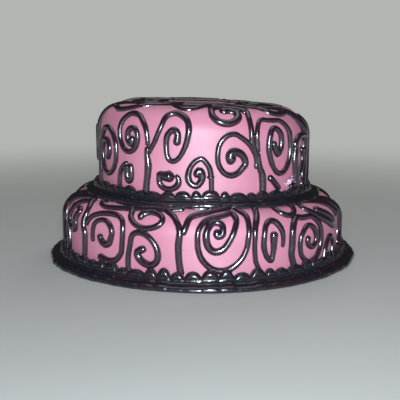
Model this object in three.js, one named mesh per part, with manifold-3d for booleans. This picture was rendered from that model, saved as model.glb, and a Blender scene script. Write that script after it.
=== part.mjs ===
// A two-tier party cake: pink fondant over both tiers, black piped scrolls all round
// and a black shell border at the foot of each tier. Millimetres, Z up, front towards -Y.
import * as THREE from "three";
import Module from "manifold-3d";

const wasm = await Module();
wasm.setup();

// Tiers. Foot and top are heights at the middle. A lie is degrees down to the right and
// degrees down to both sides, because the tops have settled, most of all on the right.
const level = { slope: 0, sag: 0 };
const lowerLie = { slope: 1.1, sag: 1.6 };
const upperLie = { slope: 2.2, sag: 1.6 };
const lower = {
  radius: 103, foot: 0, top: 49, shoulder: 17,
  footLie: level, topLie: lowerLie, facets: 48, phase: 0.4,
};
const upper = {
  radius: 78, foot: 49.3, top: 114.5, shoulder: 19,
  footLie: lowerLie, topLie: upperLie, facets: 40, phase: 2.1,
};
const ridgeSoft = 15;
const footRound = 1.5;
const shoulderSteps = 4;
const wobble = 0.45;
const wobbleWaves = [3, 5];

// Piped scrolls: width at the foot of the line, height above the fondant, depth sunk in it.
const pipeWide = 4.6;
const pipeHigh = 2.65;
const pipeSunk = 0.8;
const pipeTip = 0.6;
const chordError = 1.25;
const flatEnough = 0.2;
const stationsPerTurn = 8;
const splinePieces = 5;
const ledgeMargin = 5.5;
const twinStep = 0.02;

// Shell borders: radial width, height of the shell heads and number of shells.
const lowerShells = { wide: 12.6, high: 11.6, count: 66, clear: 0.35 };
const upperShells = { wide: 11.2, high: 9.8, count: 52, clear: 0.35 };
const shellValley = 0.8;
const shellGap = 1;
// Section of a shell, from the wall outwards: shares of its width and of its height
const shellSection = [[0, 0], [0.05, 1], [0.48, 0.88], [0.66, 0.42], [1, 0.34], [0.95, 0]];

// Torn fondant at the right of the upper tier's foot.
const tear = {
  at: [49.5, 17.5], lumps: 7, spread: [5, 1.8], size: [1.5, 2.9], squash: [1, 0.8, 0.6], seed: 11,
};
// Factor and modulus of the seeded random numbers
const randomFactor = 16807;
const randomLimit = 2147483647;

// A curl is a loop of the width and height in mm about a point given as degrees round the tier
// and mm up its surface. It starts at the clock angle `begin` with the size `eye`, turns
// anticlockwise for positive turns, and has its full size for the last `ring` turns. `shift`
// sets the eye off the loop's middle, and `lean` is the share of a rise by which the loop slants.
// Head and tail are points before and after the loop. A line's thickness, as a share of the
// plain one, is one number or a row of them at even places along it.
function curl(at, wide, tall, begin, turns, eye, more = {}) {
  const plain = { shift: [0, 0], ring: 0.65, lean: 0, head: [], tail: [], thick: 1 };
  return { at, wide, tall, begin, turns, eye, ...plain, ...more };
}

function line(points, thick = 1) {
  return { turns: 0, head: points, tail: [], thick };
}

const upperScrolls = [
  curl([-58.3, 32.1], 26.8, 33.4, -90, 1.65, 0.38, {
    shift: [-1.2, 0.6], thick: [1.1, 0.9, 1, 0.95], tail: [[-69, 27], [-69.5, 14], [-70, 7]],
  }),
  curl([-39, 46.7], 19, 26.6, -80, -1.58, 0.42, {
    shift: [1.2, -2.3], ring: 0.55, thick: [1.2, 1, 0.95, 0.95, 0.85, 1.05, 0.95, 0.8],
    head: [[-37.3, 44.5]], tail: [[-33.5, 57], [-29.6, 50], [-28.2, 43.2], [-27.8, 38]],
  }),
  curl([-13.2, 45.2], 17.3, 32.2, 0, 1.264, 0.2, {
    shift: [0.9, -3], thick: [1.15, 0.95, 0.95, 0.85, 1.05, 1.2, 0.95, 0.85, 0.8],
    head: [[-12.7, 38.6]], tail: [[-16.5, 60.9], [-19, 59.3], [-20.6, 55], [-21.9, 48.5],
    [-23.8, 43.5], [-26.6, 37], [-27.7, 33]],
  }),
  line([[-27.8, 38], [-28.3, 32], [-27.8, 25], [-28.4, 18], [-29.1, 10], [-29, 5]], [0.95, 1.05,
    1.35, 1.1, 1.2, 1.35]),
  curl([-39.9, 19.6], 5.2, 13.4, 110, 0.9, 1, { thick: 0.95 }),
  line([[-40.5, 26.2], [-43.3, 24.7], [-45.8, 20.8], [-46.9, 16], [-47.2, 11], [-48, 6]], 0.9),
  curl([-16.2, 16], 13.3, 11.2, 150, 0.67, 1, { thick: [1.1, 0.95, 1, 0.85], head: [[-21.6, 21]] }),
  line([[-21.4, 21.2], [-19.2, 19.5], [-17, 18.8], [-14.8, 19.4]], [1, 1.3, 1.7, 1.8]),
  curl([-1.9, 22.1], 14.1, 17.6, 20, -1.033, 0.22, {
    shift: [-0.5, -3.8], thick: [1.3, 1.1, 1.15, 0.95, 0.95, 1, 1.2, 0.9], head: [[-2.6, 22.8],
    [-1.6, 21]], tail: [[3.7, 18], [3.9, 8]],
  }),
  line([[3.2, 20.6], [3.6, 18.5], [3.8, 17]], 1.35),
  curl([12.1, 61.9], 17.7, 15.5, 180, -1, 0.32, {
    shift: [0, 1.5], ring: 0.55, thick: [1.4, 1.25, 1.2, 1.1, 1, 1, 1, 0.95, 0.95, 0.95],
    tail: [[4.2, 68], [6, 80], [13, 90], [21, 86], [24, 72], [24.4, 62], [24.9, 52], [26, 41],
    [27.8, 31.5]],
  }),
  curl([14.8, 33.5], 20.6, 27.8, -90, -1.6, 0.24, {
    shift: [0, -3.4], ring: 0.7, lean: 0.06, thick: [1.8, 1.2, 1, 1, 0.95, 0.95, 0.9, 0.9, 0.75],
    head: [[15.4, 28.6]], tail: [[22.2, 41.9], [24.6, 38.3], [26, 34], [26.5, 29.5], [26.2, 24.8]],
  }),
  curl([42.8, 39.9], 22.3, 37.2, -70, 1.472, 0.5, {
    shift: [-3.1, 3.4], ring: 0.528, thick: [1.1, 1.15, 1, 1.15, 0.9, 0.95, 1.05, 0.9, 0.85, 0.85,
    0.9], head: [[37.6, 43.8], [38.7, 39.2], [39.8, 36.3]], tail: [[36, 58.7], [31.8, 59.2],
    [29.7, 57], [28.6, 50], [28.3, 41], [28.6, 33]],
  }),
  line([[27.4, 35], [28.7, 29], [29.9, 24], [31.1, 20], [31.5, 14], [31.3, 6]], [0.95, 1, 1.1, 1.3,
    1.25, 1.15]),
  line([[33.6, 19.6], [37, 14.8], [41.5, 9]], 1.1),
  curl([64.3, 39.8], 22, 13, -60, 0.72, 1, {
    thick: [1.1, 1.1, 1.2, 1.45, 1.5], tail: [[57, 31], [58, 20], [59, 8]],
  }),
  line([[68, 49], [70, 40], [69.5, 28], [68, 16], [66, 7]], 1.4),
  line([[20, 98], [30, 88], [42, 81], [52, 76], [59, 71], [65, 63], [70, 53], [74, 42]], 1.2),
  line([[33, 84], [37, 76], [39.4, 69], [43.2, 64.3], [50.5, 63.8], [56.5, 66], [60, 69]], 1.15),
  line([[70, 62], [78, 54], [84, 42], [84, 28], [80, 14], [74, 6]], 1.3),
  line([[-76, 30], [-76, 44], [-75, 54], [-73, 62], [-69, 66], [-64, 64]], 1.1),
  line([[-68, 66], [-63, 72], [-56, 77], [-46, 82], [-34, 88]], 1.1),
  line([[-64, 62.8], [-56, 61.5], [-47, 64], [-38, 70], [-30, 82], [-22, 100]], 1.05),
  line([[-40, 104], [-24, 84], [-18, 73], [-14, 68], [-9, 66], [-4, 67], [2, 73], [10, 92]], 1.05),
  line([[-16, 78], [-8, 80], [0, 82], [8, 80], [14, 76]], 1.3),
  curl([91, 34], 13, 24, 0, 1.25, 0.4, { tail: [[85, 42]] }),
  curl([92, 96], 34, 26, -90, -1.3, 0.35, { tail: [[62, 84], [54, 74]] }),
];

const lowerScrolls = [
  curl([-62.3, 37], 22, 19.5, 35, -0.8, 0.9, { thick: [1, 1.1, 1.4] }),
  line([[-64, 63], [-72, 60], [-77, 54], [-80, 45], [-80.5, 34], [-79, 22], [-77, 10]], 1.4),
  line([[-84, 59], [-76, 61], [-66, 61]], 1.2),
  line([[-68, 32], [-67.5, 24], [-67, 16], [-68.5, 8]], 1.15),
  line([[-55.5, 56], [-54, 50], [-53, 44.5], [-52.8, 39], [-53.4, 33.5], [-52.1, 24], [-52.4, 15],
    [-53.8, 6]], [1.2, 1.2, 0.95, 0.9, 1.1, 0.95, 1, 1.1]),
  line([[-54.5, 52], [-59, 50], [-63, 46.5], [-67, 42]]),
  line([[-51.2, 33.5], [-50.2, 37.6], [-47.6, 42], [-42.7, 45.3], [-37.7, 46.3], [-34, 44.5],
    [-31.9, 40], [-31.3, 32], [-31.4, 23.5], [-32.4, 17.5], [-34.8, 13.6], [-38, 12.4],
    [-43.5, 14.4]], [0.9, 0.9, 1, 0.95, 0.9, 0.95, 1.2, 1.25]),
  curl([-41.7, 31.5], 20.4, 17.6, 190, 1, 0.3, {
    shift: [0.6, -2], ring: 0.7, thick: [1.05, 1.25, 1.05, 0.95, 0.85, 0.8, 0.7],
    head: [[-42.7, 30.3]], tail: [[-47, 27], [-46.8, 23.3]],
  }),
  curl([-21.3, 42.9], 23.4, 11.3, 150, -1, 0.35, {
    ring: 0.85, thick: [1.2, 0.95, 1, 1, 1.05, 0.9, 0.9], tail: [[-28.6, 46.5], [-29.5, 49.5],
    [-33, 50.3], [-38, 49.5], [-44, 49], [-48, 51], [-48.5, 54], [-45, 57]],
  }),
  curl([-21.45, 23.9], 18.9, 21.1, 90, 1.15, 0.3, {
    shift: [0, -3.5], ring: 0.57, lean: -0.31, thick: [1.25, 1.25, 1.15, 1, 0.95, 0.9, 0.95],
    head: [[-21.6, 25.6]], tail: [[-27.7, 25], [-28.2, 18], [-28.5, 12], [-28, 6]],
  }),
  line([[-17.5, 56], [-14.2, 50], [-11.8, 46.8], [-10.3, 43.5], [-9.3, 40], [-8.5, 35], [-8.6, 29],
    [-8.5, 20], [-8.1, 13], [-7.7, 5]], [1.15, 1.1, 1, 1.1, 1.2, 1.2, 1.25, 1.35]),
  line([[-8.4, 34], [-7.1, 37.5], [-6.2, 41.8], [-5.4, 45.2], [-3.6, 47.6], [0, 49.4], [4, 52.3],
    [8, 55], [12, 57.5]], 1.05),
  curl([5.85, 34.8], 16, 22.4, 180, 1.305, 0.375, {
    shift: [0.3, 2.5], ring: 0.305, thick: [1.1, 1.1, 1.1, 1.15, 1.25, 1.2, 1, 1, 1.05],
    tail: [[8.9, 28.3], [10.4, 33.7], [11.4, 39], [12.2, 45], [11.8, 49.5]],
  }),
  curl([7.3, 31.6], 32.6, 39.8, 175, 0.52, 1, {
    lean: 0.05, thick: [1, 1, 0.95, 1.05, 1.1, 0.95, 0.95, 1.1], head: [[11.7, 51.3], [8.3, 49.3],
    [5, 47.4], [1.7, 44.8], [-0.4, 41], [-1.4, 37]], tail: [[16.9, 38], [17.3, 43.5], [17.3, 48.5],
    [16, 53], [13, 57]],
  }),
  line([[23.5, 57.5], [21.2, 50], [20.2, 43.5], [19.2, 36], [18.7, 29], [18.4, 20], [18.9, 14],
    [20.8, 9]]),
  curl([26.1, 28.9], 15.5, 28.6, -105, -0.78, 1, {
    thick: [1.5, 1.1, 0.9, 0.95, 0.95, 0.9, 1, 1.05, 0.85, 0.6], head: [[26.3, 36], [26.1, 26],
    [25.4, 18]],
  }),
  curl([45.8, 26.4], 24.5, 34.2, 190, 1.68, 0.4, {
    shift: [0, 1], ring: 0.6, thick: [1, 1, 0.95, 0.9, 1, 1, 0.95, 1.15, 1.25, 1.1],
    head: [[43.6, 29.6]], tail: [[43, 44.4], [38.8, 44.3], [36.4, 41], [35.1, 36.5], [35.2, 32],
    [34.5, 25], [34.2, 19], [35, 13.5], [37, 7]],
  }),
  line([[52, 62], [50, 57], [48.5, 51.5], [50.5, 46], [56.5, 39], [65.5, 30.5]], 1.05),
  line([[53, 50.5], [57, 47], [62.5, 41], [66, 35]], 1.1),
  line([[46, 65], [56, 64], [66, 60.5], [74, 55], [79, 46], [81, 33], [81, 20], [78, 8]], 1.45),
  line([[34, 60], [31.8, 54.5], [32, 50], [33.5, 47.2], [36, 45.8], [39, 47.5], [41.3, 52],
    [42, 59]]),
  line([[63.5, 9], [64, 17], [60.5, 24], [57, 19], [54.5, 6]]),
  line([[-42, 58], [-34, 56.5], [-26, 56], [-18, 57], [-13, 58]], 1.2),
  line([[-12, 59], [-6, 57], [0, 56.5], [5, 57.5]], 1.1),
  curl([92, 28], 17, 22, 180, -1.25, 0.35, { tail: [[97, 18], [96, 6]] }),
];

const rad = THREE.MathUtils.degToRad;

// Height that is lost at a distance to the right of the middle
function droop(lie, x) {
  const away = Math.hypot(x, ridgeSoft) - ridgeSoft;
  return x * Math.tan(rad(lie.slope)) + away * Math.tan(rad(lie.sag));
}

// Point of a tier's surface at an angle and a rise in mm along it, lifted off by `out`
function skin(tier, angle, rise, out = 0) {
  const wall = tier.top - tier.foot - tier.shoulder;
  const arc = tier.shoulder * Math.PI / 2;
  const turn = THREE.MathUtils.clamp((rise - wall) / tier.shoulder, 0, Math.PI / 2);
  const inward = Math.max(0, rise - wall - arc);
  const theta = rad(angle);
  const waves = wobbleWaves.map((n, i) => Math.sin(n * theta + (i + 1) * tier.phase));
  const wave = wobble * (waves[0] + waves[1]);
  const bend = tier.shoulder + out;
  const flat = tier.radius - tier.shoulder;
  const r = flat + bend * Math.cos(turn) - inward + wave * Math.cos(turn);
  const up = Math.min(rise, wall) + bend * Math.sin(turn);
  const x = r * Math.sin(theta);
  const share = up / (tier.top - tier.foot);
  const drop = THREE.MathUtils.lerp(droop(tier.footLie, x), droop(tier.topLie, x), share);
  return new THREE.Vector3(x, -r * Math.cos(theta), tier.foot + up - drop);
}

// Radius of a tier at a rise
function girth(tier, rise) {
  const spot = skin(tier, 0, rise);
  return Math.hypot(spot.x, spot.y);
}

// Closed mesh from rings of points, each ring the same length, with a fan over both ends
function lathe(rings, first, last) {
  const count = rings[0].length;
  const points = [first, ...rings.flat(), last];
  const faces = [];
  const at = (ring, i) => 1 + ring * count + (i % count);
  for (let i = 0; i < count; i += 1) {
    faces.push([0, at(0, i + 1), at(0, i)]);
    faces.push([points.length - 1, at(rings.length - 1, i), at(rings.length - 1, i + 1)]);
    for (let ring = 0; ring + 1 < rings.length; ring += 1) {
      faces.push([at(ring, i), at(ring, i + 1), at(ring + 1, i + 1)]);
      faces.push([at(ring, i), at(ring + 1, i + 1), at(ring + 1, i)]);
    }
  }
  return solid(points, faces);
}

function solid(points, faces) {
  const mesh = new wasm.Mesh({
    numProp: 3,
    vertProperties: new Float32Array(points.flatMap((p) => [p.x, p.y, p.z])),
    triVerts: new Uint32Array(faces.flat()),
  });
  return new wasm.Manifold(mesh);
}

function tierBody(tier) {
  const wall = tier.top - tier.foot - tier.shoulder;
  const arc = tier.shoulder * Math.PI / 2;
  const rises = [footRound, wall];
  for (let i = 1; i <= shoulderSteps; i += 1) {
    rises.push(wall + arc * i / shoulderSteps);
  }
  const angles = Array.from({ length: tier.facets }, (_, i) => 360 * i / tier.facets);
  const rings = rises.map((rise) => angles.map((angle) => skin(tier, angle, rise)));
  const sole = angles.map((angle) => {
    const p = skin(tier, angle, 0);
    const inset = 1 - footRound / tier.radius;
    const x = p.x * inset;
    return new THREE.Vector3(x, p.y * inset, tier.foot - droop(tier.footLie, x));
  });
  const middle = new THREE.Vector3(0, 0, tier.foot);
  return lathe([sole, ...rings], middle, new THREE.Vector3(0, 0, tier.top));
}

// Path of a scroll as [degrees, rise] pairs, smoothed by a Catmull-Rom spline
function path(tier, scroll) {
  const knots = [...scroll.head];
  const total = Math.abs(scroll.turns);
  if (total > 0) {
    const full = Math.max(0, total - scroll.ring);
    const start = Math.max(0, full - 0.5);
    const count = Math.max(4, Math.round(total * stationsPerTurn));
    for (let i = 0; i <= count; i += 1) {
      const turned = total * i / count;
      const grown = full > start ? THREE.MathUtils.smoothstep(turned, start, full) : 1;
      const size = THREE.MathUtils.lerp(scroll.eye, 1, grown) / 2;
      const phase = rad(scroll.begin + 360 * turned * Math.sign(scroll.turns));
      const up = scroll.tall * size * Math.sin(phase);
      const across = scroll.wide * size * Math.cos(phase) + scroll.lean * up;
      const turn = THREE.MathUtils.radToDeg(across / girth(tier, scroll.at[1]));
      knots.push([
        scroll.at[0] + scroll.shift[0] * (1 - grown) + turn,
        scroll.at[1] + scroll.shift[1] * (1 - grown) + up,
      ]);
    }
  }
  knots.push(...scroll.tail);
  const spline = new THREE.CatmullRomCurve3(
    knots.map(([angle, rise]) => new THREE.Vector3(angle, rise, 0)), false, "catmullrom", 0.5);
  return spline.getPoints((knots.length - 1) * splinePieces).map((p) => [p.x, p.y]);
}

// Keeps the stretch of a path between two rises, so that it ends clear of the borders
function clip(points, low, high) {
  return points.filter(([, rise]) => rise >= low && rise <= high);
}

// Drops points that lie within the chord error of a straight piece
function thin(tier, points) {
  const spots = points.map(([angle, rise]) => skin(tier, angle, rise));
  const keep = [0];
  let from = 0;
  for (let to = 2; to < points.length; to += 1) {
    const chord = new THREE.Line3(spots[from], spots[to]);
    const nearest = new THREE.Vector3();
    const strays = spots.slice(from + 1, to).some((spot) => {
      chord.closestPointToPoint(spot, true, nearest);
      return nearest.distanceTo(spot) > chordError;
    });
    if (strays) {
      keep.push(to - 1);
      from = to - 1;
    }
  }
  keep.push(points.length - 1);
  return keep.map((i) => points[i]);
}

// Thickness of a line at a share of its length
function thickAt(thick, share) {
  if (!Array.isArray(thick)) {
    return thick;
  }
  const place = share * (thick.length - 1);
  const which = Math.min(Math.floor(place), thick.length - 2);
  return THREE.MathUtils.lerp(thick[which], thick[which + 1], place - which);
}

// Piped line over a tier: a row of short blocks with a ridged section
function pipe(tier, points, thick) {
  const spots = points.map(([angle, rise]) => skin(tier, angle, rise));
  const along = [0];
  for (let i = 1; i < spots.length; i += 1) {
    along.push(along[i - 1] + spots[i].distanceTo(spots[i - 1]));
  }
  const sections = points.map(([angle, rise], i) => {
    const before = spots[Math.max(0, i - 1)];
    const after = spots[Math.min(spots.length - 1, i + 1)];
    const way = after.clone().sub(before).normalize();
    const normal = skin(tier, angle, rise, 1).sub(spots[i]).normalize();
    const side = way.clone().cross(normal).normalize();
    const end = i === 0 || i === points.length - 1;
    const scale = thickAt(thick, along[i] / along.at(-1)) * (end ? pipeTip : 1);
    const spot = (s, n) => spots[i].clone().addScaledVector(side, s).addScaledVector(normal, n);
    const half = pipeWide * scale / 2;
    const high = pipeHigh * Math.sqrt(scale);
    return [spot(-half, -pipeSunk), spot(half, -pipeSunk), spot(0, high)];
  });
  const blocks = [];
  for (let i = 0; i + 1 < sections.length; i += 1) {
    const corners = [...sections[i], ...sections[i + 1]];
    const faces = [[0, 1, 2], [3, 5, 4]];
    for (let k = 0; k < 3; k += 1) {
      const next = (k + 1) % 3;
      faces.push([k, next + 3, next], [k, k + 3, next + 3]);
    }
    blocks.push(solid(corners, faces));
  }
  return blocks;
}

// Ragged lumps where the fondant has torn
function tornLumps(tier) {
  let state = tear.seed;
  const random = () => {
    state = (state * randomFactor) % randomLimit;
    return state / randomLimit;
  };
  const lumps = [];
  for (let i = 0; i < tear.lumps; i += 1) {
    const angle = tear.at[0] + (2 * random() - 1) * tear.spread[0];
    const rise = tear.at[1] + (2 * random() - 1) * tear.spread[1];
    const size = THREE.MathUtils.lerp(tear.size[0], tear.size[1], random());
    const ball = new THREE.IcosahedronGeometry(size, 0);
    ball.rotateX(Math.PI * random());
    ball.rotateZ(Math.PI * random());
    ball.scale(...tear.squash);
    const centre = skin(tier, angle, rise, size / 4);
    ball.translate(centre.x, centre.y, centre.z);
    lumps.push(fromGeometry(ball));
  }
  return lumps;
}

function fromGeometry(geometry) {
  const position = geometry.getAttribute("position");
  const seen = new Map();
  const points = [];
  const corners = [];
  for (let i = 0; i < position.count; i += 1) {
    const p = new THREE.Vector3().fromBufferAttribute(position, i);
    const key = p.toArray().map((v) => v.toFixed(4)).join();
    if (!seen.has(key)) {
      seen.set(key, points.length);
      points.push(p);
    }
    corners.push(seen.get(key));
  }
  return solid(points, corners);
}

function decoratedTier(tier, scrolls, border, ceiling, extras = []) {
  const blocks = [];
  for (const half of [0, 180]) {
    for (const scroll of scrolls) {
      const margin = shellGap + pipeSunk;
      const kept = clip(path(tier, scroll), border.high + margin, ceiling);
      const points = kept.map(([angle, rise]) => [angle + half, rise]);
      if (points.length > 2) {
        blocks.push(...pipe(tier, thin(tier, points), scroll.thick));
      }
    }
  }
  const whole = wasm.Manifold.union([tierBody(tier), ...blocks, ...extras]).simplify(flatEnough);
  return whole.decompose().sort((a, b) => b.volume() - a.volume())[0];
}

// Ring of piped shells standing against a tier's foot
function shellRing(tier, border) {
  const rings = [];
  const steps = border.count * 2;
  for (let i = 0; i < steps; i += 1) {
    const angle = 360 * i / steps;
    const size = i % 2 === 0 ? 1 : shellValley;
    const wide = border.wide * (0.5 + 0.5 * size);
    const high = border.high * size;
    const wallPoint = skin(tier, angle, footRound);
    const inner = Math.hypot(wallPoint.x, wallPoint.y) + border.clear;
    const theta = rad(angle);
    const spot = (out, up) => {
      const x = (inner + out * wide) * Math.sin(theta);
      const y = -(inner + out * wide) * Math.cos(theta);
      return new THREE.Vector3(x, y, tier.foot + up * high - droop(tier.footLie, x));
    };
    rings.push(shellSection.map(([out, up]) => spot(out, up)));
  }
  const count = rings[0].length;
  const faces = [];
  for (let i = 0; i < steps; i += 1) {
    const here = i * count;
    const there = ((i + 1) % steps) * count;
    for (let k = 0; k < count; k += 1) {
      const next = (k + 1) % count;
      faces.push([here + k, here + next, there + next], [here + k, there + next, there + k]);
    }
  }
  return solid(rings.flat(), faces);
}

// Moves corners that share one place a hair apart, each towards its own neighbours
function partTwins(points, corners) {
  const places = new Map();
  const around = points.map(() => new THREE.Vector3());
  const total = points.map(() => 0);
  corners.forEach((corner, i) => {
    const next = corners[i % 3 === 2 ? i - 2 : i + 1];
    around[corner].add(points[next]);
    total[corner] += 1;
  });
  points.forEach((p, i) => {
    const key = p.toArray().map((v) => v.toFixed(3)).join();
    places.set(key, [...(places.get(key) ?? []), i]);
  });
  for (const twins of places.values()) {
    if (twins.length > 1) {
      for (const i of twins) {
        const way = around[i].divideScalar(total[i]).sub(points[i]).setLength(twinStep);
        points[i].add(way);
      }
    }
  }
}

function toMesh(name, body, look) {
  const source = body.getMesh();
  const points = [];
  for (let i = 0; i < source.numVert; i += 1) {
    const start = i * source.numProp;
    points.push(new THREE.Vector3(...source.vertProperties.slice(start, start + 3)));
  }
  const corners = [...source.triVerts];
  partTwins(points, corners);
  const geometry = new THREE.BufferGeometry().setFromPoints(points);
  geometry.setIndex(corners);
  geometry.computeVertexNormals();
  const mesh = new THREE.Mesh(geometry, new THREE.MeshStandardMaterial(look));
  mesh.name = name;
  return mesh;
}

const fondant = { color: 0xe79ab8, roughness: 0.5, metalness: 0 };
const icing = { color: 0x15151a, roughness: 0.25, metalness: 0 };

const lowerWall = lower.top - lower.foot - lower.shoulder;
const lowerCeiling = lowerWall + lower.shoulder * Math.PI / 2 - ledgeMargin;
const noCeiling = upper.radius * 2;
const lowerTier = decoratedTier(lower, lowerScrolls, lowerShells, lowerCeiling);
const upperTier = decoratedTier(upper, upperScrolls, upperShells, noCeiling, tornLumps(upper));

const cake = new THREE.Group();
cake.name = "party_cake";
cake.add(
  toMesh("lower_tier", lowerTier, fondant),
  toMesh("upper_tier", upperTier, fondant),
  toMesh("lower_border", shellRing(lower, lowerShells), icing),
  toMesh("upper_border", shellRing(upper, upperShells), icing),
);

export default cake;
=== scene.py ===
# A two-tier party cake: pink fondant tiers, black piped scrolls and black shell borders.
import bisect
import math
import random

import bmesh
import bpy
from mathutils import Matrix, Vector, noise


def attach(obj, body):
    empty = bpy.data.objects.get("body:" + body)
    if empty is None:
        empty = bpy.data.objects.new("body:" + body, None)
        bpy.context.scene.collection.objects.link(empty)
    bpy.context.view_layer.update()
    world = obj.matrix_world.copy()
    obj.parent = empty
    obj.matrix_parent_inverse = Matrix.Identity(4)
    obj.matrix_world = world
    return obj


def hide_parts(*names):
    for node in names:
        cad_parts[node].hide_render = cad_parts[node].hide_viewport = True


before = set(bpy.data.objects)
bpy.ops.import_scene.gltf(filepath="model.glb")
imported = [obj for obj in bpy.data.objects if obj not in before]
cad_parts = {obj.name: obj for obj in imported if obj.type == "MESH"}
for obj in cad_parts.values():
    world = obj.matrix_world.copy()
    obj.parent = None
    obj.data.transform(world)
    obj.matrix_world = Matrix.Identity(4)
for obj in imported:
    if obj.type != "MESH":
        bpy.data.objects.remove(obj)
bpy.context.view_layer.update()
MM = 0.001

# Tiers, in millimetres. A lie is degrees down to the right and degrees down to both sides.
LEVEL = {"slope": 0, "sag": 0}
LOWER_LIE = {"slope": 1.1, "sag": 1.6}
UPPER_LIE = {"slope": 2.2, "sag": 1.6}
LOWER = {
    "radius": 103, "foot": 0, "top": 49, "shoulder": 17,
    "foot_lie": LEVEL, "top_lie": LOWER_LIE, "phase": 0.4,
}
UPPER = {
    "radius": 78, "foot": 49.3, "top": 113.1, "shoulder": 17.6,
    "foot_lie": LOWER_LIE, "top_lie": UPPER_LIE, "phase": 2.1,
}
# Distance from the middle within which the fall to both sides is rounded off
RIDGE_SOFT = 15
FOOT_ROUND = 1.5
# How far a wall is out of round, and the numbers of waves round it
WOBBLE = 0.45
WOBBLE_WAVES = (3, 5)
# Steps round a tier, and rings up its wall, over its shoulder and in from there
TIER_STEPS = 240
WALL_RINGS = 16
SHOULDER_RINGS = 14
TOP_RINGS = 20
# Height and breadth of the swells and the dimples in the fondant
SWELL = 0.22
SWELL_SIZE = 26
DIMPLE = 0.07
DIMPLE_SIZE = 6
# Points nearer to each other than this are merged
MERGE = 1e-4
# A difference below this counts as none
TINY = 1e-6

# Piped lines, in millimetres: half a line's width, and how far its crest stands out
PIPE_RADIUS = 2.1
PIPE_HIGH = 2.65
# Share by which lines on a tier's flat top have sunk
TOP_SETTLED = 0.3
# Knots on a turn of a curl, pieces of the path from knot to knot, step along the line, and
# how finely its round section is made
KNOTS_PER_TURN = 16
PIECES_PER_KNOT = 8
PIPE_STEP = 0.85
PIPE_RESOLUTION = 5
# Turns over which a curl grows from its eye to its full size
CURL_GROWTH = 0.5
# Share by which a line is thicker at its start, and the distance in which most of that fades
EYE_SWELL = 0.08
EYE_REACH = 4
# Beads of a line: their length, and their share of the line's thickness
BEADING = ((11, 0.07), (3.4, 0.045))
# How far a line strays sideways, and the length of a stray
WANDER = 0.35
WANDER_SIZE = 7
# Distance in radii that counts as a line's very end, so that its round tip isn't a point
TIP_START = 0.02
# A line that keeps fewer points than this above its border is left out, and the shortest of
# the others still has this many steps
FEWEST_POINTS = 3
FEWEST_STEPS = 4
# Share of a border's height at which the lines above it start
SUNK_UNDER_BORDER = 0.55
# How far the lower tier's lines run in on its flat top, under the upper border
LEDGE_REACH = 4

# Shell borders, in millimetres
LOWER_SHELLS = {"wide": 12.6, "high": 11.6, "count": 66, "clear": 0.35, "seed": 3}
UPPER_SHELLS = {"wide": 11.2, "high": 9.8, "count": 52, "clear": 0.35, "seed": 8}
# Steps round the ring on each shell
SHELL_STEPS = 11
# Section of a shell, from the wall outwards: shares of its width and of its height
SHELL_SECTION = [
    (0, 0), (0, 0.6), (0.04, 0.9), (0.16, 1), (0.3, 0.96), (0.39, 0.82), (0.41, 0.68),
    (0.38, 0.57), (0.41, 0.45), (0.52, 0.35), (0.68, 0.31), (0.84, 0.32), (0.96, 0.24),
    (1, 0.1), (0.94, 0), (0.5, 0),
]
# Shares of its height and its reach that a shell has at the pinch beside it
HEAD_VALLEY = 0.55
LIP_VALLEY = 0.9
HEAD_TUCK = 0.74
LIP_TUCK = 0.965
# Shares of a shell's height between which its lip turns into its head
HEAD_BAND = (0.5, 0.85)
# Shares by which the shells differ in size, in reach and in place
SHELL_UNEVEN = 0.13
REACH_UNEVEN = 0.04
SHELL_SHIFT = 0.2
# Roughness of the icing: its height, its degrees round the ring and its number on the section
ICING_ROUGH = 0.12
ROUGH_ANGLE = 3
ROUGH_COUNT = 6

# Torn fondant at the right of the upper tier's foot: degrees round the tier and mm up it, its
# reach and depth in mm, and the share of the reach over which it is all at its depth
TEAR = {"at": (52.8, 12.5), "reach": 7.5, "deep": 1.1, "flat": 0.35}
# Crumpled flakes in it: spread across and up as shares of its reach, size and lift in mm,
# width and thickness as shares of the size, strength and fineness of the creases, and the
# axis about which each is turned
FLAKES = {
    "count": 30, "seed": 12, "spread": (0.42, 0.3), "size": (0.7, 1.9), "lift": (-0.6, 0.5),
    "width": (0.5, 0.9), "thick": (0.3, 0.6), "crease": 0.5, "fine": 1.4, "axis": (1, 0.4, 0.2),
}


def curl(at, wide, tall, begin, turns, eye, shift=(0, 0), ring=0.65, lean=0, head=(), tail=(),
         thick=1):
    """A loop of the width and height in mm about a point, which is degrees round the tier and
    mm up its surface. It starts at the clock angle `begin` with the share `eye` of its size,
    turns anticlockwise for positive turns, and has its full size for the last `ring` turns.
    `shift` sets the eye off the loop's middle, and `lean` is the share of a rise by which the
    loop slants. Head and tail are points before and after the loop. The thickness, as a share
    of the plain line's, is one number or a row of them at even places along the line."""
    return {
        "at": at, "wide": wide, "tall": tall, "begin": begin, "turns": turns, "eye": eye,
        "shift": shift, "ring": ring, "lean": lean, "head": list(head), "tail": list(tail),
        "thick": thick,
    }


def line(points, thick=1):
    """A line through points, which are degrees round the tier and mm up its surface"""
    return {"turns": 0, "head": points, "tail": [], "thick": thick}


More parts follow.
